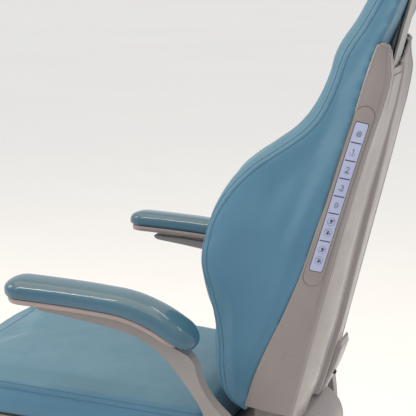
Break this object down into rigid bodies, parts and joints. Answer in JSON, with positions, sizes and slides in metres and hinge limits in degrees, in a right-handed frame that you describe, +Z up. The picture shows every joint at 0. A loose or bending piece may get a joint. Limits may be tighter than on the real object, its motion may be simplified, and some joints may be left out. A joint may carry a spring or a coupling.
{
  "type": "dental chair",
  "caption": "Padded patient chair on a swivelling lift base, with reclining shell backrest, tilting seat and leg rest, sliding and tilting headrest, and swing-up arms with side touch panels.",
  "frame": {"origin": "on the floor under the middle of the base plate", "axes": "+Z up, -Y towards the feet of the sitter, +X to the left hand of the sitter"},
  "size_m": [0.63, 1.156, 1.3394],
  "materials": {
    "painted_steel": "satin powder coat",
    "shell": "fine satin",
    "upholstery": "semi-gloss synthetic leather",
    "arm_pad": "high gloss moulded skin",
    "chrome": "polished",
    "steel": "brushed",
    "rubber": "matte",
    "membrane": "printed polyester film",
    "plywood": "sealed birch ply",
    "clear_sheet": "clear flexible sheet",
    "glide": "dark polished"
  },
  "bodies": {
    "base": {"base_plate": "painted_steel", "base_rubber_trim": "rubber", "swivel_bearing_ring": "steel"},
    "turntable": {"turntable_plate": "painted_steel", "pedestal_bracket": "painted_steel", "pedestal_arm_pin": "chrome", "pedestal_link_pin": "chrome", "cylinder_foot_pin": "chrome", "base_shroud": "shell", "pump_motor": "painted_steel", "pump_reservoir": "shell", "control_box": "painted_steel"},
    "brake_pedal": {"swivel_brake_pedal": "rubber"},
    "lift_arm": {"lift_arm": "painted_steel"},
    "parallel_link": {"parallel_link": "painted_steel"},
    "lift_barrel": {"lift_cylinder_barrel": "steel"},
    "lift_rod": {"lift_cylinder_rod": "chrome"},
    "carrier": {"carrier_frame": "painted_steel", "carrier_arm_pin": "chrome", "carrier_link_pin": "chrome", "recline_foot_pin": "chrome", "hip_housing": "shell", "seat_rest_buffer_left": "rubber", "seat_rest_buffer_right": "rubber", "arm_stub_left": "chrome", "arm_stub_right": "chrome"},
    "recline_barrel": {"recline_actuator_barrel": "steel"},
    "recline_rod": {"recline_actuator_rod": "chrome"},
    "seat": {"seat_cushion": "upholstery", "seat_pan": "shell", "seat_frame": "painted_steel", "toe_cover": "clear_sheet", "seat_side_skirt_left": "shell", "seat_side_skirt_right": "shell"},
    "back": {"back_shell": "shell", "channel_trim": "shell", "outlet_cover": "shell", "back_frame": "painted_steel", "back_board": "plywood", "headrest_guide": "steel", "back_cushion": "upholstery", "keypad_bezel_left": "shell", "keypad_bezel_right": "shell", "keypad_membrane_left": "membrane", "keypad_membrane_right": "membrane"},
    "headrest_slide": {"headrest_glide_bar": "glide", "headrest_lower_yoke": "shell"},
    "neck": {"headrest_neck_link": "painted_steel"},
    "headrest": {"headrest_plate": "shell", "headrest_cushion": "upholstery"},
    "release_lever": {"headrest_release_lever": "arm_pad"},
    "arm_left": {"arm_post_left": "shell", "arm_tray_left": "shell", "arm_cap_left": "arm_pad", "arm_hub_cap_left": "shell"},
    "arm_right": {"arm_post_right": "shell", "arm_tray_right": "shell", "arm_cap_right": "arm_pad", "arm_hub_cap_right": "shell"}
  },
  "joints": [
    {"name": "swivel", "type": "hinge", "parent": "base", "child": "turntable", "pos_m": [0, -0.02, 0.03], "axis": [0, 0, 1], "range_deg": [-30, 30]},
    {"name": "brake_pedal_press", "type": "hinge", "parent": "turntable", "child": "brake_pedal", "pos_m": [0.154, -0.12, 0.066], "axis": [1, 0, 0], "range_deg": [0, 15], "stiffness_Nm_per_rad": 2, "springref_deg": -17.19},
    {"name": "lift", "type": "hinge", "parent": "turntable", "child": "lift_arm", "pos_m": [0, -0.2, 0.11], "axis": [1, 0, 0], "range_deg": [0, 51]},
    {"name": "lift_link_swing", "type": "hinge", "parent": "turntable", "child": "parallel_link", "pos_m": [0, -0.2, 0.185], "axis": [1, 0, 0], "range_deg": [0, 51.5]},
    {"name": "carrier_level", "type": "hinge", "parent": "lift_arm", "child": "carrier", "pos_m": [0, 0.21687, 0.16118], "axis": [1, 0, 0], "range_deg": [-51.5, 0]},
    {"name": "lift_cylinder_swing", "type": "hinge", "parent": "turntable", "child": "lift_barrel", "pos_m": [0, -0.16, 0.055], "axis": [1, 0, 0], "range_deg": [0, 48]},
    {"name": "lift_cylinder_stroke", "type": "slide", "parent": "lift_barrel", "child": "lift_rod", "axis": [0, 0.855, 0.5187], "range_m": [0, 0.0585]},
    {"name": "recline", "type": "hinge", "parent": "carrier", "child": "back", "pos_m": [0, 0.208, 0.333], "axis": [-1, 0, 0], "range_deg": [0, 65]},
    {"name": "seat_tilt", "type": "hinge", "parent": "carrier", "child": "seat", "pos_m": [0, 0.208, 0.333], "axis": [-1, 0, 0], "range_deg": [0, 15.5]},
    {"name": "recline_actuator_swing", "type": "hinge", "parent": "carrier", "child": "recline_barrel", "pos_m": [0, -0.12, 0.3], "axis": [-1, 0, 0], "range_deg": [0, 1]},
    {"name": "recline_actuator_stroke", "type": "slide", "parent": "recline_barrel", "child": "recline_rod", "axis": [0, 0.9981, -0.0624], "range_m": [-0.0655, 0]},
    {"name": "arm_left_swing", "type": "hinge", "parent": "carrier", "child": "arm_left", "pos_m": [0.28, 0.172, 0.283], "axis": [-1, 0, 0], "range_deg": [0, 85]},
    {"name": "arm_right_swing", "type": "hinge", "parent": "carrier", "child": "arm_right", "pos_m": [-0.28, 0.172, 0.283], "axis": [-1, 0, 0], "range_deg": [0, 85]},
    {"name": "headrest_height", "type": "slide", "parent": "back", "child": "headrest_slide", "axis": [0, 0.2504, 0.9681], "range_m": [0, 0.11]},
    {"name": "neck_tilt", "type": "hinge", "parent": "headrest_slide", "child": "neck", "pos_m": [0, 0.42901, 1.20235], "axis": [-1, 0, 0], "range_deg": [-12, 20]},
    {"name": "headrest_tilt", "type": "hinge", "parent": "neck", "child": "headrest", "pos_m": [0, 0.41592, 1.26358], "axis": [-1, 0, 0], "range_deg": [-14, 30]},
    {"name": "release_lever_press", "type": "hinge", "parent": "headrest", "child": "release_lever", "pos_m": [0, 0.41592, 1.26358], "axis": [-1, 0, 0], "range_deg": [0, 20], "stiffness_Nm_per_rad": 0.5, "springref_deg": -17.19}
  ],
  "couplings": [
    {"joint": "lift_link_swing", "follows": "lift", "ratio": 1},
    {"joint": "carrier_level", "follows": "lift", "ratio": -1},
    {"joint": "lift_cylinder_swing", "follows": "lift", "ratio": 0.9286},
    {"joint": "lift_cylinder_stroke", "follows": "lift", "m_per_rad": 0.0647},
    {"joint": "seat_tilt", "follows": "recline", "ratio": 0.23},
    {"joint": "recline_actuator_swing", "follows": "recline", "ratio": 0.0103},
    {"joint": "recline_actuator_stroke", "follows": "recline", "m_per_rad": -0.0568}
  ]
}
